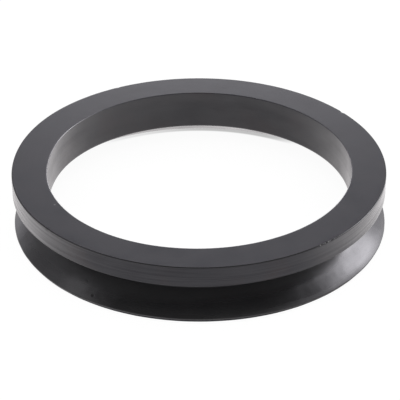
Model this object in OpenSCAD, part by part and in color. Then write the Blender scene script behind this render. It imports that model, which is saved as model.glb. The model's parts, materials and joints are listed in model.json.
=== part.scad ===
// V-ring shaft seal: one moulded rubber ring, standing on its lip with the flat back face up.
// The section is a square-shouldered body, a V-shaped groove round the outside and a conical lip.
// The axis is Z and the lip's contact edge lies in the plane z = 0. All sizes are millimetres.

/* [Body] */
// Bore diameter of the free ring
bore_d = 45; // [38:0.5:60]
// Radial height of the body, from the bore to the outer wall
section_h = 5; // [4.4:0.1:6]
// Width of the free ring, from the back face to the lip's contact edge
overall_w = 9; // [8.4:0.1:10]
// Width of the bore wall, which grips the shaft
bore_w = 5.8; // [5:0.1:6.4]
// Width of the outer wall, from the back face to the groove
rim_w = 3.05; // [2.5:0.05:3.8]
// Radius of the edge between the back face and the bore
bore_edge_r = 0.1; // [0.05:0.05:0.4]
// Radius of the edge between the back face and the outer wall
rim_edge_r = 0.15; // [0.05:0.05:0.4]
// Radius of the edge between the outer wall and the groove
groove_edge_r = 0.1; // [0.05:0.05:0.3]

/* [Lip] */
// Radial reach of the lip, from the bore to the contact edge on which the ring stands
lip_reach = 4.6; // [4.2:0.1:5.2]
// Thickness of the lip at its edge
lip_t = 0.75; // [0.5:0.05:0.9]
// Thickness of the hinge, where the lip springs from the body
hinge_t = 1.25; // [1:0.05:1.5]
// Depth of the groove, from the outer wall in to where its two flanks meet
groove_depth = 3.8; // [3.3:0.1:4]
// Radius at the bottom of the groove
root_r = 0.4; // [0.2:0.05:0.6]
// Radius of the heel, where the bore turns into the lip's inner cone
heel_r = 0.4; // [0.1:0.05:0.8]
// Radius of the lip's outer corner; its contact edge stays sharp
lip_edge_r = 0.2; // [0.05:0.05:0.3]

/* [Colour] */
// Colour of the rubber
rubber = "#3c3d40"; // ["#3c3d40", "#1f2022", "#5a3326"]

/* [Hidden] */
// Facets on screen for a full turn of the ring, and for a small edge radius
$fn = 180;
EDGE_FN = 48;

// Points of the section are [radius, height]
heel = [bore_d / 2, overall_w - bore_w];
contact = [heel.x + lip_reach, 0];
// The lip's inner cone runs from the heel to the contact edge
lip_run = unit(contact - heel);
// Square to the inner cone, into the rubber
lip_out = [-lip_run.y, lip_run.x];
lip_back = contact + lip_t * lip_out;
groove_edge = [heel.x + section_h, overall_w - rim_w];
// The groove's corner stands one hinge thickness off the inner cone, at the groove's depth
root_s = (section_h - groove_depth - hinge_t * lip_out.x) / lip_run.x;
root = heel + root_s * lip_run + hinge_t * lip_out;
rim_edge = [groove_edge.x, overall_w];
bore_edge = [heel.x, overall_w];

// Corners of the section in order, without the groove, and the radius at each
CORNERS = [heel, contact, lip_back, groove_edge, rim_edge, bore_edge];
RADII = [heel_r, 0, lip_edge_r, groove_edge_r, rim_edge_r, bore_edge_r];
// The corners before and after each one, with the groove's root between the lip and the outer wall
BEFORE = [bore_edge, heel, contact, root, groove_edge, rim_edge];
AFTER = [contact, lip_back, root, rim_edge, bore_edge, heel];
// The V that cuts the groove runs this many times its own depth out from the root
GROOVE_RUN = 2;
// Each edge circle stands this far past the sides it touches, so that it meets them cleanly
HAIR = 0.0003;

function unit(v) = v / norm(v);

// What lies between corner p and the arc of radius r that touches its sides towards a and b
module corner_waste(a, p, b, r) {
    to_a = unit(a - p);
    to_b = unit(b - p);
    half_angle = acos(to_a * to_b) / 2;
    touch_a = p + to_a * r / tan(half_angle);
    touch_b = p + to_b * r / tan(half_angle);
    centre = p + unit(to_a + to_b) * r / sin(half_angle);
    difference() {
        polygon([touch_a, 2 * touch_a - centre, 2 * p - centre, 2 * touch_b - centre, touch_b]);
        translate(centre)
            circle(r + HAIR, $fn = EDGE_FN);
    }
}

// The V-shaped groove, with a round bottom
module groove() {
    difference() {
        polygon([root, root + GROOVE_RUN * (lip_back - root), root + GROOVE_RUN * (groove_edge - root)]);
        corner_waste(lip_back, root, groove_edge, root_r);
    }
}

// The ring's section, to the right of the axis
module section() {
    difference() {
        polygon(CORNERS);
        groove();
        for (i = [0 : len(CORNERS) - 1])
            if (RADII[i] > 0) corner_waste(BEFORE[i], CORNERS[i], AFTER[i], RADII[i]);
    }
}

// The whole ring: body, hinge and lip are one piece of rubber
module v_ring() {
    color(rubber)
        rotate_extrude()
            section();
}

v_ring();
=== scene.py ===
"""A rubber V-ring seal lying on its lip on a white table, lit from the right, the back and the left."""
import json
import math
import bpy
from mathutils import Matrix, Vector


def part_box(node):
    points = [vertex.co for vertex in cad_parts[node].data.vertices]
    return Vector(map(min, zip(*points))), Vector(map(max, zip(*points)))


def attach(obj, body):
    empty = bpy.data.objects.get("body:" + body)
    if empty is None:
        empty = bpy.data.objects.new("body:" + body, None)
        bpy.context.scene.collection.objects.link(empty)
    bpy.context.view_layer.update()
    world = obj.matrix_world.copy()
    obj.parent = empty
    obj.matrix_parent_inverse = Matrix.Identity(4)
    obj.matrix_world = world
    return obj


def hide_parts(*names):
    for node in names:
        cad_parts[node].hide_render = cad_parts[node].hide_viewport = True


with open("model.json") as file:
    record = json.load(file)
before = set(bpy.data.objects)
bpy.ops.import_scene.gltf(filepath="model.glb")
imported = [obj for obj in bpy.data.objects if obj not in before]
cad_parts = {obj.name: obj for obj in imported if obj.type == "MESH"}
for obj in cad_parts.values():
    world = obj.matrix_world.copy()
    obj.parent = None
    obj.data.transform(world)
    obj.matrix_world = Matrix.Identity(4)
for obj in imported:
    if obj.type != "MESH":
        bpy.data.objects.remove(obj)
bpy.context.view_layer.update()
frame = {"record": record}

from types import SimpleNamespace

import bpy
import numpy as np

MM = 0.001

# Sizes of the ring's section: the bore and the width are the frame's, the others are the part's own
ring_low, ring_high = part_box("v_ring")
bore_mount = next(m for m in frame["record"]["mounts"] if m["name"] == "bore")
BORE_R = bore_mount["dims"]["r_mm"] * MM
OVERALL_W = ring_high.z - ring_low.z
SECTION_H = 5.0 * MM
BORE_W = 5.8 * MM
RIM_W = 3.05 * MM
LIP_REACH = 4.6 * MM
LIP_T = 0.75 * MM
HINGE_T = 1.25 * MM
GROOVE_DEPTH = 3.8 * MM

# Radii of the section's edges, in order from the heel
HEEL_ROUND = 0.4 * MM
CONTACT_ROUND = 0.03 * MM
LIP_ROUND = 0.15 * MM
ROOT_ROUND = 0.4 * MM
GROOVE_ROUND = 0.1 * MM
RIM_ROUND = 0.15 * MM
BORE_ROUND = 0.1 * MM

# Fineness of the ring's surface: steps along the section, round an edge and round the ring, and how
# close to an edge the finish of a face begins
RUN_STEP = 0.42 * MM
ARC_STEPS = 6
TURN_STEPS = 780
HEM = 0.02 * MM

# Finish of each face or edge: roughness, sheen at a glancing view, ground lines, grain and ripple
FINISH_PARTS = ("rough", "sheen", "trim", "grain", "ripple")
FINISH = {
    "inner cone": (0.2, 0.0, 0.0, 0.2, 0.5),
    "cut end": (1.0, 0.0, 0.0, 1.0, 0.0),
    "lip": (0.18, 0.0, 0.0, 0.15, 1.0),
    "groove": (0.3, 0.0, 0.0, 0.3, 0.3),
    "outer wall": (0.54, 1.0, 1.0, 1.0, 0.25),
    "rim edge": (0.1, 0.0, 0.0, 0.2, 0.0),
    "back": (0.36, 0.0, 0.0, 1.0, 0.2),
    "bore edge": (0.3, 1.0, 0.0, 1.0, 0.0),
    "bore": (0.42, 0.55, 0.15, 0.7, 0.6),
}

# The soft ring is a little out of true: its outer wall sits off the bore's axis, along x and y
WALL_DRIFT = (0.04 * MM, 0.14 * MM)

# The lip's edge spreads by a sum of cosines: how many times each goes round the ring, and its size
LIP_SPREAD = ((0, 0.17 * MM), (1, 0.13 * MM), (2, 0.05 * MM), (4, -0.07 * MM))

# The lip's outer face is crowned, and waves once between the groove and its edge
LIP_CROWN = 0.03 * MM
LIP_WAVE = 0.025 * MM

# The bore and the outer wall bulge outwards and the heel rises in bells, each with its degrees, half-width
# and size. A size below zero goes inwards or down
BORE_BULGES = (
    (175.0, 18.0, -0.2 * MM),
    (-142.0, 18.0, 0.1 * MM),
    (-118.0, 18.0, 0.1 * MM),
    (-62.0, 25.0, -0.09 * MM),
)
WALL_BULGES = (
    (145.0, 30.0, 0.15 * MM),
    (-160.0, 19.0, 0.14 * MM),
    (5.0, 30.0, 0.05 * MM),
)
HEEL_SWAY = (
    (100.0, 35.0, -0.13 * MM),
    (22.0, 22.0, 0.1 * MM),
)

# How deep into the body the bore's bulges reach, and how far from the heel its sway does
BORE_FADE = 3.0 * MM
HEEL_REACH = 1.2 * MM

# The lip's edge is trimmed a little unevenly: swing of the knife, and waves round the ring
TRIM_SWING = 0.025 * MM
TRIM_WAVES = (5, 9, 14, 23, 37, 52)
TRIM_SEED = 7

# Nicks in the rim: degrees, half-width and depth, and how far from the rim they reach
RIM_NICKS = (
    (36.0, 0.5, 0.10 * MM),
    (-46.5, 0.3, 0.02 * MM),
    (-48.5, 0.4, 0.03 * MM),
    (-51.0, 0.4, 0.03 * MM),
    (-53.0, 0.3, 0.02 * MM),
    (-140.0, 0.4, 0.05 * MM),
    (118.0, 0.4, 0.05 * MM),
)
NICK_REACH = 0.16 * MM

# Pits in the lip, painted dark as shade too, and pale specks: dust near the bore and painted glints on the
# rim's burrs. Each has its degrees, radius, height and size, and the share of the size within which a spot
# is full
PITS = (
    (-123.1, 26.98 * MM, 1.21 * MM, 0.29 * MM),
    (-127.2, 25.76 * MM, 2.26 * MM, 0.12 * MM),
    (-127.8, 25.71 * MM, 2.30 * MM, 0.1 * MM),
)
# The first speck is dust near the bore's edge; the three on the rim are painted glints on its burrs
DUST_AND_GLINTS = (
    (208.6, 23.34 * MM, 9.0 * MM, 0.2 * MM),
    (-49.3, 27.38 * MM, 8.94 * MM, 0.17 * MM),
    (-50.5, 27.37 * MM, 8.98 * MM, 0.15 * MM),
    (-52.4, 27.37 * MM, 8.95 * MM, 0.17 * MM),
)
SPOT_CORE = 0.4

# Noises of the rubber: scale and detail, and the value about which they swing
GRAIN_NOISE = (5000.0, 3.0)
CLOUD_NOISE = (260.0, 5.0)
BLUSH_NOISE = (150.0, 3.0)
RIPPLE_NOISE = (300.0, 1.5)
NOISE_MEAN = 0.5

# Noises drawn out round the ring: scale round it, scale across it and detail, and the span that shows
SMUDGE_NOISE = (170.0, 420.0, 4.0)
LINE_NOISE = (75.0, 6200.0, 5.0)
DRAWN_SPAN = (0.36, 0.64)

# Colours of the rubber, of dust and of painted light and shade, with the spans or shares in which they show
DARK_CLOUD = (0.0085, 0.0092, 0.015, 1.0)
PALE_CLOUD = (0.0145, 0.014, 0.0195, 1.0)
CLOUD_SPAN = (0.3, 0.7)
GLOSSY_BLACK = (0.0115, 0.0112, 0.0112, 1.0)
# Painted light: the lip is lightened towards its edge, where light from the white table falls on it
LIP_EDGE_PAINTED_LIGHT = (0.021, 0.0205, 0.0215, 1.0)
EDGE_LIGHT_HEIGHT = (0.4 * MM, 2.2 * MM)
WARM_BLUSH = (0.02, 0.012, 0.015, 1.0)
BLUSH_SPAN = (0.48, 0.68)
BLUSH_SHARE = 0.8
GROUND_LINE = (0.0105, 0.0105, 0.016, 1.0)
LINE_SHARE = 0.8
# Grey of the dust and of the painted glints on the rim
DUST_AND_GLINT_GREY = (0.25, 0.25, 0.25, 1.0)
DUST_AND_GLINT_SHARE = 0.5
# Painted shade: the pits are coloured near black where shade falls in them
PIT_PAINTED_SHADE = (0.002, 0.002, 0.002, 1.0)

# Roughness that clouds, ground lines, pits, the lip's hinge end and its trimmed edge add or take
CLOUD_ROUGH = 0.24
LINE_ROUGH = 0.22
PIT_ROUGH = 0.5
HINGE_ROUGH = 0.27
EDGE_ROUGH = 0.22

# Where the lip's hinge end and its trimmed edge lie, by height and from left to right. The ripple of the
# finish tells the lip from other faces
LIP_RIPPLE = (0.7, 0.95)
LIP_MIDDLE = (-5.0 * MM, 5.0 * MM)
HINGE_HEIGHT = (1.9 * MM, 3.1 * MM)
HINGE_LOWER_AT_LEFT = 0.5 * MM
HINGE_END = (18.6 * MM, 21.4 * MM)
EDGE_HEIGHT = (0.7 * MM, 1.3 * MM)

# Relief of the grain, the ripple, the ground lines and the pits, and the bump that shows it
GRAIN_RELIEF = 0.35
RIPPLE_RELIEF = 13.0
LINE_RELIEF = 1.4
PIT_RELIEF = 60.0
BUMP_STRENGTH = 0.25
BUMP_DISTANCE = 0.02 * MM

# Polish at a glancing view, and how far ground lines and smudges change it
GLANCE_SPAN = (0.26, 0.82)
LINE_POLISH = 0.4
SMUDGE_POLISH = 0.5

# Polish left by smudges, by scuffs high in the bore, which are stronger at its far left, by handling on the
# bore's left, and by wear on the outer wall's right
SMUDGE_COAT = 0.065
SCUFF_COAT = 0.13
SCUFF_HEIGHT = (6.8 * MM, 8.4 * MM)
LEFT_SCUFF_COAT = 0.4
LEFT_SCUFF_END = (-22.0 * MM, -18.0 * MM)
HANDLED_COAT = 0.19
HANDLED_END = (-16.0 * MM, 2.0 * MM)
WORN_COAT = 0.12
WORN_START = (12.0 * MM, 22.0 * MM)

# What the polish and the rubber under it are set to as a whole
COAT_IOR = 2.3
COAT_ROUGHNESS = 0.2
RUBBER_IOR = 1.55

# Plain colours
WHITE = (1.0, 1.0, 1.0, 1.0)
BLACK = (0.0, 0.0, 0.0, 1.0)

# The table: half its width and its drop below the lip, its tone as it lights the ring, the tone that keeps
# a shadow, how bright it shows, and its tint in the gloss
TABLE_HALF = 0.8
TABLE_DROP = 0.01 * MM
CARD_TONE = (0.88, 0.88, 0.88, 1.0)
SHADOW_TONE = (0.1, 0.1, 0.1, 1.0)
TABLE_GLOW = 0.945
TABLE_TINT = (1.0, 0.968, 0.982, 1.0)

# The thin shade under the far lip: strength, the radii where it begins and ends, where the far side
# begins, where left turns to right, and the share of it at the left
SHADE = 0.45
SHADE_START = (26.1 * MM, 26.6 * MM)
SHADE_END = (27.2 * MM, 27.6 * MM)
SHADE_FAR = (21.5 * MM, 24.5 * MM)
SHADE_SIDES = (-12.0 * MM, 2.0 * MM)
SHADE_AT_LEFT = 0.4

# Lamps: name, place, the point each faces, size and power, and the tint of them all
LAMPS = (
    ("side_softbox", (0.4475, 0.216, 0.245), (0.0, 0.0, 0.0), (0.26, 0.22), 0.3),
    ("back_softbox", (0.0, 0.28, 0.068), (0.0, 0.0, 0.068), (0.14, 0.136), 0.114),
    ("left_softbox", (-0.3772, -0.0665, 0.3214), (0.0, 0.0, 0.0), (0.2, 0.12), 0.037),
)
LAMP_TINT = (0.985, 0.965, 1.01)

# The room as the gloss shows it: its tint, its walls, a little brighter high up and brightest low at the
# back, and its dark ceiling, whose tone lies under the rest. A span is the share of a direction that
# points up or away from the camera
ROOM_TINT = (0.985, 0.965, 1.03, 1.0)
WALL_TONE = 0.4
HIGH_WALL = 0.09
HIGH_SPAN = (0.46, 0.6)
LOW_BACK_WALL = 0.7
LOW_SPAN = (0.1, 0.34)
BACK_SPAN = (-0.4, 0.2)
CEILING_TONE = 0.045
CEILING_UP = (0.5, 0.72)
CEILING_AWAY = (-0.2, 0.05)

# The room's plain light on the ring, outside the gloss
PLAIN_LIGHT = 0.8

# The glow of a big soft lamp at the right, as the gloss shows it: direction, strength, the cosine at its
# edge and its focus
GLOW_FROM = (0.8072, 0.3897, 0.4431)
GLOW = 5.4
GLOW_EDGE = 0.788
GLOW_FOCUS = 2.65

# The photograph's camera: place, pitch below level, focal length for a square picture, the picture's and
# the sensor's width, and the nearest distance that it shows
CAMERA_AT = (0.00017, -0.22585, 0.14165)
CAMERA_PITCH = 31.56
FOCAL_PX = 1775.0
PICTURE_PX = 400
SENSOR_MM = 36.0
CLIP_START = 0.01


def unit(v):
    """v at length one."""
    return v / np.linalg.norm(v)


def section_corners():
    """The section's corners [radius, height] in order round the rubber, the radius of each, its finish
    and the finish of the run that follows it. The lip's inner cone runs straight from the heel to the
    contact edge; its back face tapers from the hinge's thickness to the lip's."""
    heel = np.array([BORE_R, OVERALL_W - BORE_W])
    contact = np.array([BORE_R + LIP_REACH, 0.0])
    lip_run = unit(contact - heel)
    lip_out = np.array([-lip_run[1], lip_run[0]])
    lip_back = contact + LIP_T * lip_out
    groove_edge = np.array([BORE_R + SECTION_H, OVERALL_W - RIM_W])
    root_s = (SECTION_H - GROOVE_DEPTH - HINGE_T * lip_out[0]) / lip_run[0]
    root = heel + root_s * lip_run + HINGE_T * lip_out
    rim_edge = np.array([groove_edge[0], OVERALL_W])
    bore_edge = np.array([BORE_R, OVERALL_W])
    return (
        (heel, HEEL_ROUND, "bore", "inner cone"),
        (contact, CONTACT_ROUND, "cut end", "cut end"),
        (lip_back, LIP_ROUND, "lip", "lip"),
        (root, ROOT_ROUND, "groove", "groove"),
        (groove_edge, GROOVE_ROUND, "outer wall", "outer wall"),
        (rim_edge, RIM_ROUND, "rim edge", "back"),
        (bore_edge, BORE_ROUND, "bore edge", "bore"),
    )


def rounded_section():
    """The section as a closed line of points with the finish of each point. Each corner is an arc that
    touches both its sides, and the straight run after it is cut into even steps."""
    corners, radii, edge_finish, run_finish = zip(*section_corners())
    share = np.linspace(0, 1, ARC_STEPS)[:, None]
    arcs = []
    for i, radius in enumerate(radii):
        to_a = unit(corners[i - 1] - corners[i])
        to_b = unit(corners[(i + 1) % len(corners)] - corners[i])
        half = math.acos(float(to_a @ to_b)) / 2
        centre = corners[i] + unit(to_a + to_b) * radius / math.sin(half)
        start = corners[i] + to_a * radius / math.tan(half) - centre
        end = corners[i] + to_b * radius / math.tan(half) - centre
        sweep = math.pi - 2 * half
        spokes = np.sin((1 - share) * sweep) * start + np.sin(share * sweep) * end
        arcs.append(centre + spokes / math.sin(sweep))
    points, names = [], []
    for i, arc in enumerate(arcs):
        along = arcs[(i + 1) % len(arcs)][0] - arc[-1]
        length = np.linalg.norm(along)
        steps = max(2, int(np.ceil(length / RUN_STEP)))
        run = arc[-1] + np.linspace(HEM / length, 1 - HEM / length, steps)[:, None] * along
        points += [arc, run]
        names += [edge_finish[i]] * len(arc) + [run_finish[i]] * len(run)
    return np.concatenate(points), names


def section_shares(section):
    """How far each point of the section follows each slack of the ring, from 0 to 1. The lip's share
    grows evenly from the groove's root to its end, and the outer wall's from the bore outwards and from
    the heel up. The bore's fades evenly into the body. The heel's and the rim's are bells about their
    corners."""
    heel, _, lip_end, root, _, rim, _ = (corner for corner, *_ in section_corners())
    radius, height = section.T
    out_along_lip = (radius - root[0]) / (lip_end[0] - root[0])
    out_to_wall = np.clip((radius - BORE_R) / SECTION_H, 0, 1)
    up_from_heel = np.clip((height - heel[1]) / HINGE_T, 0, 1)
    return SimpleNamespace(
        lip=np.clip(out_along_lip, 0, 1) * (height < root[1]),
        wall=out_to_wall * up_from_heel,
        bore=np.clip(1 - (radius - BORE_R) / BORE_FADE, 0, 1),
        heel=np.exp(-(np.hypot(*(section - heel).T) / HEEL_REACH) ** 2),
        rim=np.exp(-(np.hypot(*(section - rim).T) / NICK_REACH) ** 2),
    )


def lip_crown(lip_share, on_lip):
    """Height added to the lip's outer face, from the groove to its edge: half a sine wave, less a whole
    one."""
    start = lip_share[on_lip].min()
    down = (lip_share - start) / (1 - start)
    return (LIP_CROWN * np.sin(np.pi * down) - LIP_WAVE * np.sin(2 * np.pi * down)) * on_lip


def trim_wave(turn):
    """How far the knife strayed round the lip's edge: a few sine waves with chosen phases."""
    phases = np.random.default_rng(TRIM_SEED).uniform(0, 2 * np.pi, len(TRIM_WAVES))
    waves = [np.sin(count * turn + phase) for count, phase in zip(TRIM_WAVES, phases)]
    return TRIM_SWING * sum(waves) / len(waves)


def bells(turn, places):
    """Sum of bell-shaped swells round the ring, each given by its angle, half-width and size."""
    total = np.zeros_like(turn)
    for degrees, half_width, size in places:
        away = np.angle(np.exp(1j * (turn - math.radians(degrees)))) / math.radians(half_width)
        total += size * np.exp(-away ** 2)
    return total


def grid_faces(rows, columns):
    """Quads of a grid that closes on itself both ways, seen from outside."""
    row = np.arange(rows)[:, None]
    column = np.arange(columns)[None, :]
    next_row = (row + 1) % rows
    next_column = (column + 1) % columns
    quads = np.stack([
        row * columns + column,
        next_row * columns + column,
        next_row * columns + next_column,
        row * columns + next_column,
    ], axis=-1)
    return quads.reshape(-1, 4)


def mesh_piece(name, points, quads):
    """A smooth-shaded mesh object at the origin from an array of points and an array of quads."""
    mesh = bpy.data.meshes.new(name)
    mesh.vertices.add(len(points))
    mesh.vertices.foreach_set("co", points.astype(np.float32).ravel())
    mesh.loops.add(quads.size)
    mesh.loops.foreach_set("vertex_index", quads.astype(np.int32).ravel())
    mesh.polygons.add(len(quads))
    mesh.polygons.foreach_set("loop_start", np.arange(0, quads.size, 4, dtype=np.int32))
    mesh.update(calc_edges=True)
    mesh.validate()
    mesh.shade_smooth()
    piece = bpy.data.objects.new(name, mesh)
    bpy.context.scene.collection.objects.link(piece)
    return piece


def rubber_ring():
    """The ring: its rounded section carried round the axis. The radius follows the lip's spread and trim
    wave and the bulges of the bore and the outer wall. The height follows the lip's crown and the heel's
    sway. The outer wall drifts sideways, and at each nick the rim sinks into the body. The finish of each
    point is kept in attributes."""
    section, names = rounded_section()
    turn = np.linspace(0, 2 * np.pi, TURN_STEPS, endpoint=False)[:, None]
    share = section_shares(section)
    crown = lip_crown(share.lip, np.array([name == "lip" for name in names]))
    spread = sum(size * np.cos(count * turn) for count, size in LIP_SPREAD)
    bulge = bells(turn, BORE_BULGES) * share.bore + bells(turn, WALL_BULGES) * share.wall
    sunk = bells(turn, RIM_NICKS) * share.rim
    radius = section[:, 0] + (trim_wave(turn) + spread) * share.lip + bulge - sunk
    across = radius * np.cos(turn) + WALL_DRIFT[0] * share.wall
    along = radius * np.sin(turn) + WALL_DRIFT[1] * share.wall
    height = section[:, 1] + crown + bells(turn, HEEL_SWAY) * share.heel - sunk
    points = np.stack([across, along, height], axis=-1).reshape(-1, 3)
    piece = mesh_piece("seal_ring", points, grid_faces(len(turn), len(section)))
    finish = np.array([FINISH[name] for name in names], dtype=np.float32)
    for part, values in zip(FINISH_PARTS, finish.T):
        attribute = piece.data.attributes.new(part, "FLOAT", "POINT")
        attribute.data.foreach_set("value", np.tile(values, len(turn)))
    return piece


class Ink:
    """A socket of a node tree that takes part in Python expressions: each operator adds a Math node."""

    def __init__(self, tree, socket=None):
        self.tree = tree
        self.socket = socket

    def node(self, kind, settings=None, inputs=None, out=0):
        """Any node: its type, its settings, set first, and the values or links of its sockets."""
        made = self.tree.nodes.new(kind)
        for key, value in (settings or {}).items():
            setattr(made, key, value)
        for key, value in (inputs or {}).items():
            if isinstance(value, Ink):
                self.tree.links.new(value.socket, made.inputs[key])
            else:
                made.inputs[key].default_value = value
        return Ink(self.tree, made.outputs[out])

    def feed(self, shader, name, value):
        """Link a value to a socket of a shader node."""
        self.tree.links.new(value.socket, shader.inputs[name])

    def math(self, operation, *values):
        """A Math node on this value and others."""
        return self.node("ShaderNodeMath", {"operation": operation}, dict(enumerate((self, *values))))

    def __add__(self, other):
        return self.math("ADD", other)

    __radd__ = __add__

    def __mul__(self, other):
        return self.math("MULTIPLY", other)

    __rmul__ = __mul__

    def __sub__(self, other):
        return self.math("SUBTRACT", other)

    def __rsub__(self, other):
        return self.node("ShaderNodeMath", {"operation": "SUBTRACT"}, {0: other, 1: self})

    def step(self, low, high):
        """0 below low, 1 above high, smooth between."""
        settings = {"interpolation_type": "SMOOTHSTEP"}
        return self.node("ShaderNodeMapRange", settings, {"Value": self, "From Min": low, "From Max": high})

    def mix(self, first, second):
        """A colour between two, by this value: a Mix node's sockets 6 and 7, and its output 2."""
        settings = {"data_type": "RGBA"}
        return self.node("ShaderNodeMix", settings, {"Factor": self, 6: first, 7: second}, out=2)


def axis(place, name):
    """The X, Y or Z of a place or a direction."""
    return place.node("ShaderNodeSeparateXYZ", None, {0: place}, out=name)


def from_axis(place):
    """How far a place lies from the ring's axis."""
    x = axis(place, "X")
    y = axis(place, "Y")
    return (x * x + y * y).math("SQRT")


def two_vectors(operation, first, second):
    """The number that a Vector Math node makes of two vectors."""
    return first.node("ShaderNodeVectorMath", {"operation": operation}, {0: first, 1: second}, out="Value")


def noise(place, scale, detail):
    """Noise at a place."""
    return place.node("ShaderNodeTexNoise", None, {"Vector": place, "Scale": scale, "Detail": detail})


def drawn_noise(place, round_scale, slope_scale, detail):
    """Noise drawn out round the ring: x and y go by one scale, and the way up or down the section, which
    is height less radius, by another."""
    scaled = {
        "X": round_scale * axis(place, "X"),
        "Y": round_scale * axis(place, "Y"),
        "Z": slope_scale * (axis(place, "Z") - from_axis(place)),
    }
    drawn = place.node("ShaderNodeCombineXYZ", None, scaled)
    return noise(drawn, 1.0, detail).step(*DRAWN_SPAN)


def spots(place, rows):
    """1 at the middle of each spot, given by its degrees, radius, height and size, and 0 outside."""
    found = None
    for degrees, radius, height, size in rows:
        turn = math.radians(degrees)
        middle = (radius * math.cos(turn), radius * math.sin(turn), height)
        away = two_vectors("DISTANCE", place, middle)
        spot = 1.0 - away.step(SPOT_CORE * size, size)
        found = spot if found is None else found.math("MAXIMUM", spot)
    return found


def rubber_patterns(ink):
    """What the rubber's look is made of: the finish of each face or edge, the place from left to right
    and up, the noises and the spots."""
    place = ink.node("ShaderNodeTexCoord", out="Object")
    finish = {
        part: ink.node("ShaderNodeAttribute", {"attribute_name": part}, out="Fac")
        for part in FINISH_PARTS
    }
    return SimpleNamespace(
        **finish,
        x=axis(place, "X"),
        z=axis(place, "Z"),
        grain_noise=noise(place, *GRAIN_NOISE),
        cloud=noise(place, *CLOUD_NOISE),
        blush=noise(place, *BLUSH_NOISE),
        ripple_noise=noise(place, *RIPPLE_NOISE),
        smudge=drawn_noise(place, *SMUDGE_NOISE),
        lines=drawn_noise(place, *LINE_NOISE),
        pits=spots(place, PITS),
        dust_and_glints=spots(place, DUST_AND_GLINTS),
    )


def rubber_colour(look):
    """Near-black, clouded where it is grained, lightened by painted light from the table towards the lip's
    edge, with a warm blush and ground lines on the walls, dust, pale specks painted as glints on the rim's
    burrs, and pits painted dark as shade."""
    clouded = look.cloud.step(*CLOUD_SPAN).mix(DARK_CLOUD, PALE_CLOUD)
    moulded = look.grain.mix(GLOSSY_BLACK, clouded)
    # Painted light from the table, lightening the lip and its inner cone towards the bottom
    edge_light = (1.0 - look.z.step(*EDGE_LIGHT_HEIGHT)) * look.ripple
    edge_lit = edge_light.mix(moulded, LIP_EDGE_PAINTED_LIGHT)
    warm = (BLUSH_SHARE * look.sheen * look.blush.step(*BLUSH_SPAN)).mix(edge_lit, WARM_BLUSH)
    lined = (LINE_SHARE * look.trim * look.lines).mix(warm, GROUND_LINE)
    # Pale specks: dust, and painted glints on the rim's burrs
    specked = (DUST_AND_GLINT_SHARE * look.dust_and_glints).mix(lined, DUST_AND_GLINT_GREY)
    # The pits are painted dark as shade, on top of their bump
    return look.pits.mix(specked, PIT_PAINTED_SHADE)


def rubber_roughness(look):
    """The finish's own roughness, changed by clouds, ground lines and pits. The lip is rougher at its
    hinge end, but for its right side, and at its trimmed edge on the right."""
    on_lip = look.ripple.step(*LIP_RIPPLE)
    at_left = 1.0 - look.x.step(*LIP_MIDDLE)
    near_hinge = (look.z + HINGE_LOWER_AT_LEFT * at_left).step(*HINGE_HEIGHT)
    hinge = near_hinge * (1.0 - look.x.step(*HINGE_END))
    edge = (1.0 - look.z.step(*EDGE_HEIGHT)) * (1.0 - at_left)
    clouds = CLOUD_ROUGH * (look.cloud - NOISE_MEAN)
    lines = LINE_ROUGH * look.trim * (look.lines - NOISE_MEAN)
    lip = (HINGE_ROUGH * hinge + EDGE_ROUGH * edge) * on_lip
    return look.rough + clouds - lines + PIT_ROUGH * look.pits + lip


def rubber_relief(ink, look):
    """A bump from grain, ripple, ground lines and pits."""
    grain = GRAIN_RELIEF * look.grain_noise * look.grain
    ripple = RIPPLE_RELIEF * look.ripple_noise * look.ripple
    relief = grain + ripple + LINE_RELIEF * look.lines * look.trim - PIT_RELIEF * look.pits
    inputs = {"Strength": BUMP_STRENGTH, "Distance": BUMP_DISTANCE, "Height": relief}
    return ink.node("ShaderNodeBump", None, inputs)


def rubber_polish(ink, look):
    """Polish as a coat: at a glancing view on the bore and the outer wall, in smudges, where the bore is
    scuffed and handled, and where the outer wall is worn."""
    facing = ink.node("ShaderNodeLayerWeight", out="Facing")
    lines = LINE_POLISH * look.trim * (look.lines - NOISE_MEAN)
    smudges = SMUDGE_POLISH * look.ripple * (look.smudge - NOISE_MEAN)
    glancing = facing.step(*GLANCE_SPAN) * look.sheen * (1.0 + lines + smudges)
    scuff = look.z.step(*SCUFF_HEIGHT)
    left_scuff = scuff * (1.0 - look.x.step(*LEFT_SCUFF_END))
    handled = 1.0 - look.x.step(*HANDLED_END)
    rubbed = SCUFF_COAT * scuff + HANDLED_COAT * handled + LEFT_SCUFF_COAT * left_scuff
    on_bore = look.sheen * (1.0 - look.trim)
    worn = look.x.step(*WORN_START) * look.trim
    return glancing + SMUDGE_COAT * look.ripple * look.smudge + rubbed * on_bore + WORN_COAT * worn


def moulded_rubber():
    """The rubber: satin back face and bore, ground outer wall with fine lines, glossy lip."""
    material = bpy.data.materials.new("moulded_rubber")
    material.use_nodes = True
    shader = next(n for n in material.node_tree.nodes if n.type == "BSDF_PRINCIPLED")
    ink = Ink(material.node_tree)
    look = rubber_patterns(ink)
    ink.feed(shader, "Base Color", rubber_colour(look))
    ink.feed(shader, "Roughness", rubber_roughness(look))
    ink.feed(shader, "Normal", rubber_relief(ink, look))
    ink.feed(shader, "Coat Weight", rubber_polish(ink, look))
    shader.inputs["Coat IOR"].default_value = COAT_IOR
    shader.inputs["Coat Roughness"].default_value = COAT_ROUGHNESS
    shader.inputs["IOR"].default_value = RUBBER_IOR
    return material


def light_path(ink, *names):
    """1 for rays of any of the named kinds."""
    path = ink.tree.nodes.new("ShaderNodeLightPath")
    shown = Ink(ink.tree, path.outputs[names[0]])
    for name in names[1:]:
        shown = shown.math("MAXIMUM", Ink(ink.tree, path.outputs[name]))
    return shown


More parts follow.
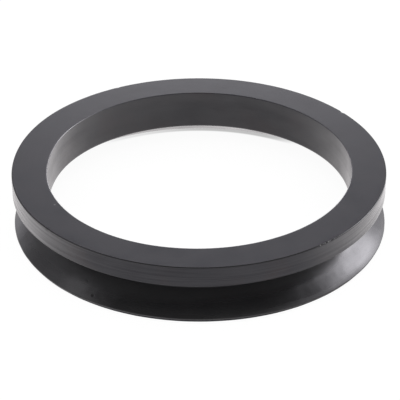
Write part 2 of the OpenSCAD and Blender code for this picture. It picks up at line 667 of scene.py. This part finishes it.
def lip_shade(ink):
    """The thin shade on the table under the far side of the lip, fainter at the left, for the camera
    only."""
    place = ink.node("ShaderNodeTexCoord", out="Object")
    radius = from_axis(place)
    under_lip = radius.step(*SHADE_START) * (1.0 - radius.step(*SHADE_END))
    sides = SHADE_AT_LEFT + (1.0 - SHADE_AT_LEFT) * axis(place, "X").step(*SHADE_SIDES)
    far = axis(place, "Y").step(*SHADE_FAR) * sides
    return SHADE * under_lip * far * light_path(ink, "Is Camera Ray")


def table_white():
    """The white table: it shows white, with a faint shadow and the shade under the far lip, and lights
    the object as pale card does."""
    material = bpy.data.materials.new("table_white")
    material.use_nodes = True
    tree = material.node_tree
    tree.nodes.clear()
    ink = Ink(tree)
    card = ink.node("ShaderNodeBsdfDiffuse", None, {"Color": CARD_TONE})
    shadowed = ink.node("ShaderNodeBsdfDiffuse", None, {"Color": SHADOW_TONE})
    tint = light_path(ink, "Is Glossy Ray").mix(WHITE, TABLE_TINT)
    glow_colour = lip_shade(ink).mix(tint, BLACK)
    glow = ink.node("ShaderNodeEmission", None, {"Color": glow_colour, "Strength": TABLE_GLOW})
    shown = ink.node("ShaderNodeAddShader", None, {0: shadowed, 1: glow})
    shown_white = light_path(ink, "Is Camera Ray", "Is Glossy Ray", "Is Transmission Ray")
    surface = ink.node("ShaderNodeMixShader", None, {0: shown_white, 1: card, 2: shown})
    out = tree.nodes.new("ShaderNodeOutputMaterial")
    ink.feed(out, "Surface", surface)
    return material


def white_table():
    """The table under the ring, square and wide enough to fill the picture."""
    corners = ((-1, -1), (1, -1), (1, 1), (-1, 1))
    points = np.array([[TABLE_HALF * x, TABLE_HALF * y, -TABLE_DROP] for x, y in corners])
    table = mesh_piece("table", points, np.array([[0, 1, 2, 3]]))
    table.data.materials.append(table_white())


def softbox(name, at, aim, size, power):
    """A rectangular area lamp at a place, turned to face a point."""
    data = bpy.data.lights.new(name, "AREA")
    data.shape = "RECTANGLE"
    data.size, data.size_y = size
    data.energy = power
    data.color = LAMP_TINT
    lamp = bpy.data.objects.new(name, data)
    bpy.context.scene.collection.objects.link(lamp)
    ahead = unit(np.array(aim) - np.array(at))
    lamp.location = at
    lamp.rotation_euler = (math.acos(-ahead[2]), 0.0, math.atan2(ahead[1], ahead[0]) - math.pi / 2)


def surroundings():
    """The room: white to the eye, plain white light on the object, and in its gloss pale walls that are
    brightest low at the back, a glow at the right and a dark ceiling above the camera."""
    world = bpy.data.worlds.new("surroundings")
    bpy.context.scene.world = world
    world.use_nodes = True
    ink = Ink(world.node_tree)
    toward = ink.node("ShaderNodeTexCoord", out="Generated")
    away = axis(toward, "Y")
    up = axis(toward, "Z")
    low_back = (1.0 - up.step(*LOW_SPAN)) * away.step(*BACK_SPAN)
    walls = WALL_TONE + HIGH_WALL * up.step(*HIGH_SPAN) + LOW_BACK_WALL * low_back
    ceiling = (1.0 - away.step(*CEILING_AWAY)) * up.step(*CEILING_UP)
    beside = two_vectors("DOT_PRODUCT", toward, GLOW_FROM)
    inside = (beside - GLOW_EDGE) * (1.0 / (1.0 - GLOW_EDGE))
    glow = GLOW * inside.math("MAXIMUM", 0.0).math("POWER", GLOW_FOCUS)
    room = CEILING_TONE + (1.0 - ceiling) * walls + glow
    in_gloss = light_path(ink, "Is Glossy Ray")
    to_camera = light_path(ink, "Is Camera Ray", "Is Transmission Ray")
    on_object = PLAIN_LIGHT + in_gloss * (room - PLAIN_LIGHT)
    background = next(n for n in ink.tree.nodes if n.type == "BACKGROUND")
    ink.feed(background, "Color", in_gloss.mix(WHITE, ROOM_TINT))
    ink.feed(background, "Strength", on_object * (1.0 - to_camera) + to_camera)


def photo_camera():
    """The photograph's camera: level from left to right, pitched down at the ring."""
    data = bpy.data.cameras.new("photo_camera")
    data.sensor_width = SENSOR_MM
    data.lens = FOCAL_PX / PICTURE_PX * SENSOR_MM
    data.clip_start = CLIP_START
    camera = bpy.data.objects.new("photo_camera", data)
    camera.location = CAMERA_AT
    camera.rotation_euler = (math.radians(90 - CAMERA_PITCH), 0.0, 0.0)
    bpy.context.scene.collection.objects.link(camera)
    bpy.context.scene.camera = camera


photo_camera()
white_table()
for lamp in LAMPS:
    softbox(*lamp)
surroundings()
ring = rubber_ring()
ring.data.materials.append(moulded_rubber())
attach(ring, "root")
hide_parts("v_ring")
bpy.context.scene.view_settings.view_transform = "Standard"
